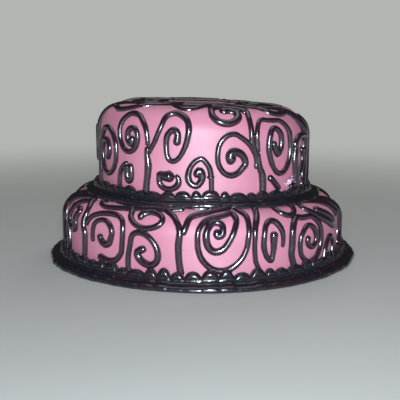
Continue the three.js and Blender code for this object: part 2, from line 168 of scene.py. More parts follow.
# Lines of each tier's front, mostly from left to right, with those on its top near the end
UPPER_SCROLLS = [
    curl((-59.4, 32), 26.4, 32, -90, 1.65, 0.38, shift=(-1.5, 1.2), thick=(1.1, 0.85, 0.9, 1, 1),
         tail=[(-70.5, 36), (-72, 27), (-72.5, 14), (-73, 7)]),
    curl((-39.1, 46.5), 19.5, 26.4, -80, -1.58, 0.38, shift=(1.6, -2.4), ring=0.55, lean=0.03,
         head=[(-37.1, 44.3)], thick=(1.3, 1.05, 0.95, 0.95, 0.85, 1.05, 0.95, 0.8),
         tail=[(-33.1, 57), (-29, 50), (-27.7, 43.2), (-27.6, 38)]),
    curl((-12.6, 45), 14.6, 32.5, 180, 0.56, 0.88, ring=0.31, lean=0.17,
         head=[(-12.6, 38.9), (-12.4, 42.4), (-12.1, 45.7), (-12.8, 48.4), (-14.1, 49.3),
               (-15.8, 47.8)],
         thick=(1.3, 1, 0.95, 0.85, 1.05, 1.2, 0.95, 0.85, 0.8),
         tail=[(-7.8, 55.6), (-10.1, 59.1), (-13, 61), (-16, 60.8), (-18.6, 58.3), (-19.8, 53.6),
               (-21.4, 47.8), (-23.5, 41.8), (-25.9, 36), (-27.6, 32.5)]),
    line([(-27.5, 38), (-27.9, 32), (-27.4, 25), (-28, 18), (-28.7, 10), (-28.7, 5)],
         (0.95, 1.05, 1.35, 1.15, 1.2, 1.35)),
    curl((-39.6, 19.6), 4, 12, 110, 0.9, 1, thick=1.2),
    line([(-40.3, 25.6), (-43, 24.2), (-45.4, 20.5), (-46.6, 16), (-47, 11), (-47.8, 6)], 0.9),
    curl((-16.6, 15.9), 13.5, 11.5, 170, 0.62, 1, head=[(-21.3, 21.7)],
         thick=(1.1, 0.95, 1, 1.1, 0.7), tail=[(-12.8, 20.3)]),
    line([(-22.4, 21), (-20.6, 19.6), (-18.5, 18.7), (-16.2, 18.6), (-13.8, 19)],
         (1, 1.3, 1.7, 2, 1.9)),
    curl((-1.75, 21.9), 13.9, 17.9, -80, -0.514, 1, lean=0.26,
         head=[(-2.2, 18.1), (-2.6, 20.9), (-1.8, 22.9), (-0.8, 21.8), (-0.3, 18.9), (-1, 15.6)],
         thick=(1.4, 1.2, 1.15, 1.15, 0.95, 0.95, 0.95, 0.9, 0.9),
         tail=[(1, 29), (2.8, 25.4), (3.7, 20.9), (4, 16.5), (4.2, 8)]),
    line([(3.7, 20.6), (3.9, 18.5), (4, 17)], 1.3),
    curl((11.8, 62.1), 17.6, 15, 0, -0.5, 1,
         head=[(9.5, 63.5), (11.6, 65.4), (15, 66), (17.9, 64.4)],
         thick=(1.6, 1.35, 1.25, 1.15, 1, 1, 1, 0.95, 0.95, 0.95),
         tail=[(4.7, 68), (6, 80), (13, 90), (21, 86), (24.3, 74), (25.2, 67.8), (24.9, 61.5),
               (24.5, 55.6), (24.3, 50.7), (24.4, 46.5), (24.8, 42.1), (26.2, 37.6), (27.6, 32.5)]),
    curl((14.3, 34), 19.8, 27.6, -38, -0.728, 1, lean=0.06,
         head=[(15.3, 28.4), (13.9, 30.5), (13.4, 33.1), (14.5, 35.4), (16.5, 36), (19, 34.5),
               (20.7, 31.3), (21.1, 28)],
         thick=(1.9, 1.35, 1.1, 1, 0.95, 0.95, 0.9, 0.9, 0.75),
         tail=[(19.7, 45), (22.6, 42), (25, 38.1), (26.6, 33.7), (27.1, 29.1), (26.6, 24.6)]),
    curl((42.4, 39.5), 22.3, 37.2, -70, 1.472, 0.49, shift=(-3.5, 3.5), ring=0.528,
         head=[(37.2, 43.6), (38.3, 39), (39.4, 36.1)],
         thick=(1.1, 1.15, 1, 1.15, 0.9, 0.95, 1.05, 0.9, 0.85, 0.85, 0.9),
         tail=[(36, 58), (32.1, 58.2), (29.6, 56), (28, 51.9), (27.4, 46.5), (27.5, 41),
               (27.9, 35.5)]),
    line([(27.5, 36), (28.2, 30.3), (29.4, 25.1), (30.7, 20.5), (31, 14.7), (30.9, 6)],
         (0.95, 1, 1.1, 1.3, 1.25, 1.15)),
    line([(34.4, 19.5), (37.9, 15.4), (42.2, 9.6)], 1.1),
    curl((64.3, 39.8), 22, 13, -60, 0.72, 1, tail=[(55.9, 31), (56.9, 20), (58, 8)],
         thick=(1.1, 1.1, 1.2, 1.5, 1.6)),
    line([(50.5, 9.5), (53.5, 11.3), (56.5, 10.5)], 1.1),
    line([(64.8, 37.8), (67.2, 31.6), (65.7, 24.3), (61, 17.6)], (1.3, 1, 1, 1.2)),
    line([(68.5, 49), (71, 40), (70.5, 28), (69, 16), (67, 7)], 1.5),
    line([(20, 99), (30, 89), (42, 81), (52, 74.5), (58.5, 68.5), (63.5, 61.5), (68.5, 52),
          (73, 42)], (1.2, 1.3, 1.4, 1.75, 1.6)),
    line([(33, 84), (37, 76), (39.4, 69), (43.2, 64.3), (50.5, 63.8), (56.5, 66), (60, 69)], 1.15),
    line([(70, 62), (78, 54), (84, 42), (84, 28), (80, 14), (74, 6)], 1.3),
    line([(-76, 30), (-76, 44), (-75, 54), (-73, 62), (-69, 66), (-64, 64)], 0.85),
    line([(-68, 66), (-63, 72), (-56, 77), (-46, 82), (-34, 88)], 1.1),
    line([(-62, 64.5), (-55, 62.5), (-47, 64), (-38, 69.5), (-30, 79), (-24, 90), (-20, 100)],
         1.05),
    line([(-40, 104), (-24, 86), (-18, 74), (-14, 68.5), (-9, 66), (-4, 68), (2, 75), (10, 92)],
         1.05),
    line([(-16, 78), (-8, 80), (0, 82), (8, 80), (14, 76)], 1.4),
    line([(-44, 90), (-24, 97), (0, 100), (22, 97), (36, 92)], 1.3),
    line([(4, 66), (7.5, 69.5), (12.5, 71), (18, 70.5), (22.5, 68), (25, 63.5)], 1.15),
    curl((91, 34), 13, 24, 0, 1.25, 0.4, tail=[(85, 42)]),
    curl((92, 96), 34, 26, -90, -1.3, 0.35, tail=[(62, 84), (54, 74)]),
]

LOWER_SCROLLS = [
    line([(-60, 50.7), (-63.4, 47.3), (-65, 43), (-66, 38), (-66.3, 33), (-64.6, 29), (-61, 27.2),
          (-59.4, 30), (-59.3, 34), (-58.8, 38), (-57.8, 41.5), (-61, 43)],
         (1, 1, 1.1, 1.15, 1.2, 1.25, 1)),
    line([(-64, 64), (-71, 60.5), (-76, 54), (-79, 45.5), (-79.5, 34), (-78.5, 22), (-77, 10)],
         1.7),
    line([(-84, 59), (-76, 61), (-66, 61)], 1.2),
    line([(-55, 57), (-62, 55.5), (-68.5, 52), (-73, 47), (-75.5, 40)], 1.15),
    line([(-68, 32), (-67.5, 24), (-67, 16), (-68.5, 8)], 1.15),
    line([(-56, 55), (-54.8, 50), (-53, 46.1), (-52.2, 42.1), (-52.4, 36.8), (-52.4, 31.9),
          (-51.5, 27), (-51.6, 18), (-52.2, 11.8), (-52.8, 5)],
         (1.2, 1.2, 1, 1, 1.15, 1.1, 1.1, 1.2)),
    line([(-54.5, 52), (-59, 50), (-63, 46.5), (-67, 42)]),
    line([(-50.6, 33), (-49.6, 36.7), (-47.6, 40.2), (-44.8, 42.6), (-41.4, 43.8), (-37.8, 44.2),
          (-34.4, 43.4), (-32, 41), (-30.9, 37), (-30.7, 31), (-31, 24.8), (-31.7, 19.1),
          (-33.5, 14.6), (-36.1, 12.4), (-39.5, 12.4), (-43.2, 14.3)],
         (0.9, 0.9, 1, 0.95, 0.9, 0.95, 1.2, 1.25)),
    curl((-40.9, 31.3), 18.4, 15.4, -20, 0.53, 1,
         head=[(-42.1, 29.8), (-41.8, 26.8), (-40.8, 24.1), (-39.1, 23), (-37.1, 24.7)],
         thick=(1.05, 1.25, 1.05, 0.95, 0.85, 0.8, 0.7), tail=[(-46.3, 29), (-46.3, 22.8)]),
    curl((-21.6, 43.1), 22.4, 12, 80, -0.5, 1, head=[(-23.1, 43.4), (-24.1, 45.2), (-23.1, 47.4)],
         thick=(1.45, 1, 1, 1, 1.05, 0.9, 0.9),
         tail=[(-25.8, 39.2), (-27.5, 41.6), (-28.6, 44.6), (-28.9, 47.5), (-29.7, 49.6),
               (-33, 50.3), (-38, 49.5), (-44, 49), (-48, 51), (-48.5, 54), (-45, 57)]),
    curl((-21.8, 23.6), 18.9, 21.1, 90, 1.15, 0.3, shift=(0, -3.5), ring=0.57, lean=-0.31,
         head=[(-21.6, 25.6)], thick=(1.25, 1.25, 1.15, 1, 0.95, 0.9, 0.95),
         tail=[(-27.7, 25), (-28.2, 18), (-28.5, 12), (-28, 6)]),
    line([(-17.3, 55.2), (-14, 50.9), (-11.3, 46.9), (-9.9, 43.1), (-8.9, 40.3), (-8.3, 36.5),
          (-8.4, 32), (-8.7, 26), (-8.6, 19), (-8.1, 11.7), (-7.8, 5)],
         (1.15, 1.1, 1.05, 1.1, 1.15, 1.15, 1.15, 1.3)),
    line([(-7.4, 34), (-6.4, 38.6), (-5.6, 43), (-4.8, 45.7), (-3.4, 47.3), (-1.4, 48.7), (1, 50),
          (3.8, 52), (7.3, 53.9), (12, 57)], 1.05),
    curl((4.7, 33.3), 13.2, 19, 50, 0.653, 1,
         head=[(6, 36.9), (4.9, 36.4), (4.7, 34.9), (5.6, 33.9), (6.9, 35.2), (7.2, 37.8)],
         thick=(1.2, 1.1, 1.1, 1.15, 1.25, 1.2, 1, 1, 1.05),
         tail=[(7.2, 25.8), (8.8, 29.1), (10.1, 33.4), (11.1, 37.4), (11.9, 41.4), (12.3, 44.7),
               (11.9, 48.2), (11.2, 51)]),
    curl((7.1, 31.4), 32.5, 40.4, 178, 0.51, 1, lean=0.06,
         head=[(12, 51), (10.6, 50.2), (7.7, 48), (5.1, 46.6), (2.7, 45.3), (0.8, 43.5),
               (-0.7, 40.7), (-1.6, 37.2)],
         thick=(1, 1, 0.95, 1.05, 1.1, 0.95, 0.95, 1.1),
         tail=[(16.6, 38.7), (16.8, 43.5), (16.5, 47.7), (15.5, 51.1), (13, 57)]),
    line([(22.8, 56.7), (21.3, 49.2), (20, 43), (19, 37.7), (18.6, 32.6), (18.6, 24), (18.9, 16.9),
          (19.9, 12.7), (21.2, 8.8)], (1.15, 1.15, 1.05, 0.85, 0.8, 0.8, 0.9)),
    curl((26.2, 29.4), 15, 27.6, -105, -0.77, 1, head=[(26.4, 36), (26.2, 27), (25.9, 20)],
         thick=(1.5, 1.1, 0.9, 0.95, 0.95, 0.9, 1, 1.05, 0.85, 0.6)),
    curl((45.3, 26.5), 25.2, 33.4, 190, 1.68, 0.4, shift=(0.5, 1), ring=0.6, head=[(43.9, 29.4)],
         thick=(1, 1, 0.95, 0.9, 1, 1, 0.95, 1.15, 1.25, 1.1),
         tail=[(42.3, 42.9), (39.8, 43.6), (37.7, 42.3), (36.1, 39.3), (35.1, 35.7), (34.8, 30.2),
               (34.6, 24.4), (34.4, 18.4), (35.4, 12.2), (37, 7)]),
    line([(51.5, 62), (48, 56), (46.6, 51.5), (47.6, 48.6), (49.8, 45.2), (52.4, 41.2), (56, 37.4),
          (61, 33), (65.5, 30)], 1.05),
    line([(53, 48), (56.5, 44.4), (60.5, 40), (64.5, 34)], 1.3),
    line([(48, 67), (58, 64), (66, 59), (72.5, 52.5), (77, 44), (79.5, 33), (80, 20), (77.5, 8)],
         1.75),
    line([(50, 60.5), (56, 58), (61.5, 54), (66, 49), (69.3, 43.5), (71.5, 36)], 1.4),
    line([(34, 60), (31.8, 54.5), (32, 50), (33.5, 47.2), (36, 45.8), (39, 47.5), (41.3, 52),
          (42, 59)]),
    line([(63.5, 9), (64, 17), (60.5, 24), (57, 19), (54.5, 6)]),
    line([(-42, 58), (-34, 56.5), (-26, 56), (-18, 57), (-13, 58)], 1.2),
    line([(-12, 59), (-6, 57), (0, 56.5), (5, 57.5)], 1.1),
    line([(-29.5, 50.9), (-24.2, 52.1), (-19.9, 52.9), (-14.9, 52.2), (-11.3, 52.8),
          (-7.3, 53.8)], 1.1),
    curl((92, 28), 17, 22, 180, -1.25, 0.35, tail=[(97, 18), (96, 6)]),
]


def clamp(value, low, high):
    return max(low, min(high, value))


def lerp(a, b, share):
    return a + (b - a) * share


def smoothstep(value, low, high):
    share = clamp((value - low) / (high - low), 0, 1)
    return share * share * (3 - 2 * share)


# Form of a tier

def droop(lie, x):
    """Height lost at a distance to the right of the middle"""
    away = math.hypot(x, RIDGE_SOFT) - RIDGE_SOFT
    return x * math.tan(math.radians(lie["slope"])) + away * math.tan(math.radians(lie["sag"]))


def wall_height(tier):
    return tier["top"] - tier["foot"] - tier["shoulder"]


def shoulder_end(tier):
    """Rise at which the shoulder has turned into the flat top"""
    return wall_height(tier) + tier["shoulder"] * math.pi / 2


def skin(tier, angle, rise, out=0):
    """Point of a tier's surface at an angle and a rise along it, lifted off by `out`"""
    wall = wall_height(tier)
    turn = clamp((rise - wall) / tier["shoulder"], 0, math.pi / 2)
    inward = max(0, rise - shoulder_end(tier))
    theta = math.radians(angle)
    wave = sum(
        math.sin(n * theta + (i + 1) * tier["phase"]) for i, n in enumerate(WOBBLE_WAVES)
    )
    bend = tier["shoulder"] + out
    flat = tier["radius"] - tier["shoulder"]
    r = flat + bend * math.cos(turn) - inward + WOBBLE * wave * math.cos(turn)
    up = min(rise, wall) + bend * math.sin(turn)
    x = r * math.sin(theta)
    share = up / (tier["top"] - tier["foot"])
    drop = lerp(droop(tier["foot_lie"], x), droop(tier["top_lie"], x), share)
    return Vector((x, -r * math.cos(theta), tier["foot"] + up - drop))


def unevenness(spot):
    """Swell and dimples of hand-laid fondant, in mm"""
    swell = noise.noise(spot / SWELL_SIZE)
    dimples = noise.noise(spot / DIMPLE_SIZE)
    return SWELL * swell + DIMPLE * dimples


def torn_dip(tier, angle, rise):
    """Hollow of the torn patch, in mm, which only the upper tier has"""
    if tier is not UPPER:
        return 0
    across = math.radians(angle - TEAR["at"][0]) * tier["radius"]
    away = math.hypot(across, rise - TEAR["at"][1])
    return -TEAR["deep"] * (1 - smoothstep(away, TEAR["reach"] * TEAR["flat"], TEAR["reach"]))


# Making pieces

def angle_of(spot):
    return math.degrees(math.atan2(spot.x, -spot.y))


def finish_piece(name, mesh, material, node):
    """Puts a mesh in the scene as a piece of the cake that stands for a CAD node"""
    mesh.materials.clear()
    mesh.materials.append(material)
    for face in mesh.polygons:
        face.use_smooth = True
    piece = bpy.data.objects.new(name, mesh)
    bpy.context.scene.collection.objects.link(piece)
    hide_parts(node)
    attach(piece, "root")


def to_mesh(name, bm):
    """The mesh of a bmesh in millimetres, with its faces outwards"""
    bmesh.ops.recalc_face_normals(bm, faces=bm.faces)
    bm.transform(Matrix.Scale(MM, 4))
    mesh = bpy.data.meshes.new(name)
    bm.to_mesh(mesh)
    bm.free()
    return mesh


def spun_chain(bm, chain, steps, closed):
    """Spins a chain of points into a full ring about the Z axis. A point is its radius and its
    height, and two numbers that its ring keeps."""
    first = bm.verts.layers.float.new("first")
    second = bm.verts.layers.float.new("second")
    verts = []
    for radius, height, one, two in chain:
        vert = bm.verts.new((0, -radius, height))
        vert[first] = one
        vert[second] = two
        verts.append(vert)
    ends = zip(verts, verts[1:] + verts[:1]) if closed else zip(verts, verts[1:])
    edges = [bm.edges.new(pair) for pair in ends]
    bmesh.ops.spin(
        bm, geom=verts + edges, cent=(0, 0, 0), axis=(0, 0, 1), dvec=(0, 0, 0),
        angle=math.tau, steps=steps, use_merge=True, use_duplicate=False,
    )
    return first, second


def tier_outline(tier):
    """A tier's outline from the middle of its foot to the middle of its top. A point is a share
    of the radius, which is less than 1 only on the foot, and a rise along the surface."""
    wall = wall_height(tier)
    end = shoulder_end(tier)
    flat = tier["radius"] - tier["shoulder"]
    rises = [FOOT_ROUND + (wall - FOOT_ROUND) * i / WALL_RINGS for i in range(WALL_RINGS)]
    rises += [wall + (end - wall) * i / SHOULDER_RINGS for i in range(SHOULDER_RINGS)]
    rises += [end + flat * i / TOP_RINGS for i in range(TOP_RINGS + 1)]
    foot = [(0, 0), (0.5, 0), (1 - FOOT_ROUND / tier["radius"], 0), (1, FOOT_ROUND / 3)]
    return foot + [(1, rise) for rise in rises]


def fondant_tier(name, tier, material, node):
    """A tier with its foot, wall, shoulder and top, spun and then laid as the real one lies"""
    outline = tier_outline(tier)
    top = outline[-1][1]
    chain = [
        (tier["radius"] * share * (1 if rise < top else 0), rise, share, rise)
        for share, rise in outline
    ]
    bm = bmesh.new()
    share_layer, rise_layer = spun_chain(bm, chain, TIER_STEPS, closed=False)
    for vert in bm.verts:
        share, rise = vert[share_layer], vert[rise_layer]
        angle = angle_of(vert.co)
        spot = skin(tier, angle, rise)
        if rise < FOOT_ROUND / 2:
            x = spot.x * share
            vert.co = (x, spot.y * share, tier["foot"] + rise - droop(tier["foot_lie"], x))
        else:
            lift = unevenness(spot) * smoothstep(rise, FOOT_ROUND, 3 * FOOT_ROUND)
            vert.co = skin(tier, angle, rise, lift + torn_dip(tier, angle, rise))
    bmesh.ops.remove_doubles(bm, verts=bm.verts, dist=MERGE)
    finish_piece(name, to_mesh(name, bm), material, node)


# Piped scrolls

def smooth_path(knots):
    """Catmull-Rom curve through the knots"""
    path = []
    for i in range(len(knots) - 1):
        before = knots[max(0, i - 1)]
        start, end = knots[i], knots[i + 1]
        after = knots[min(len(knots) - 1, i + 2)]
        for k in range(PIECES_PER_KNOT):
            t = k / PIECES_PER_KNOT
            path.append(tuple(
                0.5 * (2 * b + (c - a) * t + (2 * a - 5 * b + 4 * c - d) * t * t
                       + (3 * b - a - 3 * c + d) * t ** 3)
                for a, b, c, d in zip(before, start, end, after)
            ))
    return path + [knots[-1]]


def loop_knots(tier, scroll):
    """Knots of a curl's loop as (degrees, rise) pairs"""
    total = abs(scroll["turns"])
    full = max(0, total - scroll["ring"])
    start = max(0, full - CURL_GROWTH)
    count = round(total * KNOTS_PER_TURN)
    girth = skin(tier, 0, scroll["at"][1])
    around = math.hypot(girth.x, girth.y)
    knots = []
    for i in range(count + 1):
        turned = total * i / count
        grown = smoothstep(turned, start, full) if full > start else 1
        size = lerp(scroll["eye"], 1, grown) / 2
        phase = math.radians(scroll["begin"] + math.copysign(360 * turned, scroll["turns"]))
        up = scroll["tall"] * size * math.sin(phase)
        across = scroll["wide"] * size * math.cos(phase) + scroll["lean"] * up
        knots.append((
            scroll["at"][0] + scroll["shift"][0] * (1 - grown) + math.degrees(across / around),
            scroll["at"][1] + scroll["shift"][1] * (1 - grown) + up,
        ))
    return knots


def scroll_path(tier, scroll):
    """Path of a scroll as (degrees, rise) pairs"""
    loop = loop_knots(tier, scroll) if scroll["turns"] else []
    return smooth_path(scroll["head"] + loop + scroll["tail"])


def even_stations(tier, path):
    """The path's points again, at even steps along the tier's surface, and its length"""
    spots = [skin(tier, angle, rise) for angle, rise in path]
    along = [0]
    for a, b in zip(spots, spots[1:]):
        along.append(along[-1] + (b - a).length)
    count = max(FEWEST_STEPS, round(along[-1] / PIPE_STEP))
    stations = []
    place = 0
    for i in range(count + 1):
        want = along[-1] * i / count
        while place < len(along) - 2 and along[place + 1] < want:
            place += 1
        share = (want - along[place]) / max(TINY, along[place + 1] - along[place])
        angle = lerp(path[place][0], path[place + 1][0], share)
        rise = lerp(path[place][1], path[place + 1][1], share)
        stations.append((angle, rise, want))
    return stations, along[-1]


def thick_at(scroll, share):
    """Thickness of a line at a share of its length, from one number or an even row of them"""
    row = scroll["thick"]
    if not isinstance(row, tuple):
        return row
    place = share * (len(row) - 1)
    which = min(int(place), len(row) - 2)
    return lerp(row[which], row[which + 1], place - which)


def beads(along, seed):
    """Beads of a line at a distance along it, as a share of its thickness"""
    return sum(
        share * noise.noise(Vector((along / size, seed, size))) for size, share in BEADING
    )


def round_tip(away):
    """Share of its thickness that a line has at a distance from its end, in radii"""
    return math.sqrt(1 - (1 - clamp(away, TIP_START, 1)) ** 2)


def add_pipe(curve, tier, scroll, turned, low, high, seed):
    """One piped line as a spline with its own radius at each point"""
    path = [(a + turned, r) for a, r in scroll_path(tier, scroll) if low <= r <= high]
    if len(path) < FEWEST_POINTS:
        return
    stations, length = even_stations(tier, path)
    spline = curve.splines.new("POLY")
    spline.points.add(len(stations) - 1)
    for point, (angle, rise, along) in zip(spline.points, stations):
        thick = thick_at(scroll, along / length)
        plain = PIPE_RADIUS * thick
        radius = plain * (1 + beads(along, seed) + EYE_SWELL * math.exp(-along / EYE_REACH))
        settled = 1 - TOP_SETTLED * smoothstep(rise, wall_height(tier), shoulder_end(tier))
        crest = PIPE_HIGH * math.sqrt(thick) * settled
        stray = WANDER * noise.noise(Vector((seed, along / WANDER_SIZE, 0)))
        aside = math.degrees(stray / tier["radius"])
        point.co = (*skin(tier, angle + aside, rise, crest - radius), 1)
        point.radius = radius * round_tip(min(along, length - along) / plain)


def scrolls(name, tier, table, border, high, material, node):
    """All the piped lines of a tier: the front's, and the same again on the back"""
    curve = bpy.data.curves.new(name, "CURVE")
    curve.dimensions = "3D"
    curve.twist_mode = "MINIMUM"
    curve.bevel_depth = 1
    curve.bevel_resolution = PIPE_RESOLUTION
    curve.use_fill_caps = True
    low = border["high"] * SUNK_UNDER_BORDER
    for half, turned in enumerate((0, 180)):
        for i, scroll in enumerate(table):
            add_pipe(curve, tier, scroll, turned, low, high, i + half * len(table) + 0.5)
    holder = bpy.data.objects.new(name + "_lines", curve)
    bpy.context.scene.collection.objects.link(holder)
    bpy.context.view_layer.update()
    evaluated = holder.evaluated_get(bpy.context.evaluated_depsgraph_get())
    bm = bmesh.new()
    bm.from_mesh(evaluated.to_mesh())
    bmesh.ops.remove_doubles(bm, verts=bm.verts, dist=MERGE)
    evaluated.to_mesh_clear()
    bpy.data.objects.remove(holder)
    finish_piece(name, to_mesh(name, bm), material, node)


# Shell borders

def shell_places(border):
    """Starts of the shells round the ring, in shells, and the size and reach of each"""
    draws = random.Random(border["seed"])
    count = border["count"]
    starts = [i + SHELL_SHIFT * draws.uniform(-1, 1) for i in range(count)]
    starts.append(starts[0] + count)
    sizes = [1 + SHELL_UNEVEN * draws.uniform(-1, 1) for _ in range(count)]
    reaches = [1 + REACH_UNEVEN * draws.uniform(-1, 1) for _ in range(count)]
    return starts, sizes, reaches


def spun_ring(bm, tier, border):
    """A plain ring of a shell's section, with the section's shares kept at each point"""
    section = smooth_path(SHELL_SECTION + [SHELL_SECTION[0]])[:-1]
    chain = [
        (tier["radius"] + out * border["wide"], up * border["high"], out, up)
        for out, up in section
    ]
    out_layer, up_layer = spun_chain(bm, chain, border["count"], closed=True)
    around = [
        edge for edge in bm.edges
        if abs(edge.verts[0][out_layer] - edge.verts[1][out_layer]) < TINY
        and abs(edge.verts[0][up_layer] - edge.verts[1][up_layer]) < TINY
    ]
    bmesh.ops.subdivide_edges(bm, edges=around, cuts=SHELL_STEPS - 1, use_grid_fill=True)
    return out_layer, up_layer


def shells(name, tier, border, material, node):
    """A ring of piped shells, spun from a shell's section and then pinched between the shells"""
    starts, sizes, reaches = shell_places(border)
    count = border["count"]
    bm = bmesh.new()
    out_layer, up_layer = spun_ring(bm, tier, border)
    for vert in bm.verts:
        out, up = vert[out_layer], vert[up_layer]
        angle = angle_of(vert.co)
        turn = (angle / 360 * count - starts[0]) % count + starts[0]
        which = bisect.bisect_right(starts, turn) - 1
        phase = (turn - starts[which]) / (starts[which + 1] - starts[which]) * 2 - 1
        dome = math.sqrt(max(0, 1 - phase * phase))
        head = smoothstep(up, *HEAD_BAND)
        valley = lerp(LIP_VALLEY, HEAD_VALLEY, head)
        tuck = lerp(LIP_TUCK, HEAD_TUCK, head)
        place = Vector((angle / ROUGH_ANGLE, out * ROUGH_COUNT, up * ROUGH_COUNT))
        rough = ICING_ROUGH * noise.noise(place)
        high = up * border["high"] * lerp(valley, sizes[which], dome) + rough * up
        wide = out * border["wide"] * lerp(tuck, reaches[which], dome) + rough * out
        wall = skin(tier, angle, FOOT_ROUND)
        r = math.hypot(wall.x, wall.y) + border["clear"] + wide
        theta = math.radians(angle)
        x = r * math.sin(theta)
        vert.co = (x, -r * math.cos(theta), tier["foot"] + high - droop(tier["foot_lie"], x))
    finish_piece(name, to_mesh(name, bm), material, node)


# Torn patch

def torn_flakes(name, tier, material, node):
    """Crumpled flakes of fondant that stand in the torn patch"""
    draws = random.Random(FLAKES["seed"])
    spread = [TEAR["reach"] * share for share in FLAKES["spread"]]
    axis = Vector(FLAKES["axis"]).normalized()
    bm = bmesh.new()
    for _ in range(FLAKES["count"]):
        angle = TEAR["at"][0] + math.degrees(draws.gauss(0, spread[0]) / tier["radius"])
        rise = TEAR["at"][1] + draws.gauss(0, spread[1])
        size = draws.uniform(*FLAKES["size"])
        made = bmesh.ops.create_icosphere(bm, subdivisions=2, radius=size)["verts"]
        squash = Vector((1, draws.uniform(*FLAKES["width"]), draws.uniform(*FLAKES["thick"])))
        turn = Matrix.Rotation(draws.uniform(0, math.tau), 3, axis)
        spin = Matrix.Rotation(draws.uniform(0, math.tau), 3, "Z")
        centre = skin(tier, angle, rise, draws.uniform(*FLAKES["lift"]))
        for vert in made:
            spot = Vector(a * b for a, b in zip(vert.co, squash))
            spot *= 1 + FLAKES["crease"] * noise.noise(vert.co * FLAKES["fine"] + centre)
            vert.co = centre + spin @ (turn @ spot)
    finish_piece(name, to_mesh(name, bm), material, node)


# Materials

# Colours, two where one shade passes into the other
FONDANT_PINKS = ((0.58, 0.2, 0.292, 1), (0.62, 0.23, 0.33, 1))
# Dark red painted over the torn hollow as its shade
HOLLOW_SHADE_RED = (0.42, 0.1, 0.22, 1)
LINE_BLACKS = ((0.018, 0.009, 0.019, 1), (0.026, 0.01, 0.018, 1))
SHELL_BLACKS = ((0.011, 0.011, 0.017, 1), (0.022, 0.012, 0.016, 1))
FLAKE_PINKS = ((0.72, 0.28, 0.45, 1), (0.86, 0.74, 0.86, 1))
# Dark red painted in spots on the torn flakes as the shade between them
FLAKE_PAINTED_SHADE = (0.16, 0.02, 0.07, 1)
FLOOR_GREYS = ((0.44, 0.44, 0.43, 1), (0.47, 0.47, 0.455, 1))
DARK = (0, 0, 0, 1)
# Share of the torn patch's reach within which its painted shade is full
HOLLOW_SHADE_CORE = 0.6
# Heights in metres between which the upper tier's shoulder turns into its dull top
DULL_TOP = (0.1035, 0.1115)


class Value:
    """A socket inside a material, with Python's own operators"""

    def __init__(self, shader, socket):
        self.shader = shader
        self.socket = socket

    def maths(self, operation, *values):
        return self.shader.node("ShaderNodeMath", {"operation": operation}, values)

    def __add__(self, other):
        return self.maths("ADD", self, other)

    def __mul__(self, other):
        return self.maths("MULTIPLY", self, other)

    def __rsub__(self, other):
        return self.maths("SUBTRACT", other, self)

    __radd__ = __add__
    __rmul__ = __mul__


class Shader:
    """A material being built. Its distances are in metres, and a noise's scale is in waves to
    the metre."""

    def __init__(self, name):
        self.material = bpy.data.materials.new(name)
        self.material.use_nodes = True
        self.tree = self.material.node_tree
        self.surface = self.tree.nodes["Principled BSDF"]
        place = self.tree.nodes.new("ShaderNodeTexCoord")
        self.place = Value(self, place.outputs["Object"])

    def put(self, socket, value):
        if isinstance(value, Value):
            self.tree.links.new(value.socket, socket)
        else:
            socket.default_value = value

    def node(self, kind, settings, inputs, output=0):
        """Any node: its settings, then its inputs by name or in order, and one output"""
        made = self.tree.nodes.new(kind)
        for key, value in settings.items():
            setattr(made, key, value)
        pairs = inputs.items() if isinstance(inputs, dict) else enumerate(inputs)
        for key, value in pairs:
            self.put(made.inputs[key], value)
        return Value(self, made.outputs[output])

    def noise(self, scale, detail=2, roughness=0.5):
        inputs = {
            "Vector": self.place, "Scale": scale, "Detail": detail, "Roughness": roughness,
        }
        return self.node("ShaderNodeTexNoise", {}, inputs)

    def step(self, value, low, high):
        """0 below low, 1 above high, and smooth between"""
        inputs = {"Value": value, "From Min": low, "From Max": high}
        return self.node("ShaderNodeMapRange", {"interpolation_type": "SMOOTHSTEP"}, inputs)

    def blend(self, share, first, second):
        settings = {"data_type": "RGBA"}
        inputs = {0: share, 6: first, 7: second}
        return self.node("ShaderNodeMix", settings, inputs, 2)

    def bump(self, height, distance, strength, under=None):
        inputs = {"Height": height, "Distance": distance, "Strength": strength}
        if under:
            inputs["Normal"] = under
        return self.node("ShaderNodeBump", {}, inputs)

    def away_from(self, spot):
        """Distance from a point"""
        settings = {"operation": "DISTANCE"}
        return self.node("ShaderNodeVectorMath", settings, [self.place, spot], "Value")

    def height(self):
        return self.node("ShaderNodeSeparateXYZ", {}, [self.place], "Z")

    def finish(self, sockets):
        """Fills the surface's own sockets, given by name"""
        for name, value in sockets.items():
            self.put(self.surface.inputs[name], value)
        return self.material


def fondant_material():
    """Satin sugar paste with fine pores, dull on the top, and dark red shreds painted over the torn
    hollow as its shade
    """
    shader = Shader("pink_fondant")
    cloudy = shader.noise(22, detail=3)
    grain = shader.noise(1100)
    pores = shader.noise(420, detail=3, roughness=0.6)
    smooth = shader.blend(shader.step(cloudy, low=0.35, high=0.65), *FONDANT_PINKS)
    tear = skin(UPPER, *TEAR["at"]) * MM
    reach = TEAR["reach"] * MM
    # The torn hollow, where dark red shreds are painted as its shade
    torn = 1 - shader.step(shader.away_from(tear), low=HOLLOW_SHADE_CORE * reach, high=reach)
    shreds = shader.step(shader.noise(700, detail=3, roughness=0.7), low=0.42, high=0.56)
    dull = shader.step(shader.height(), *DULL_TOP)
    fine = shader.bump(grain, distance=0.0003, strength=0.12)
    return shader.finish({
        "Base Color": shader.blend(torn * shreds, smooth, HOLLOW_SHADE_RED),
        "Roughness": 0.44 + 0.14 * cloudy + 0.08 * pores + 0.4 * dull,
        "Normal": shader.bump(pores, distance=0.0006, strength=0.14, under=fine),
        "Subsurface Weight": 0.12,
        "Subsurface Radius": (0.006, 0.003, 0.003),
        "Specular IOR Level": 1,
        "Specular Tint": (0.78, 1, 1, 1),
    })


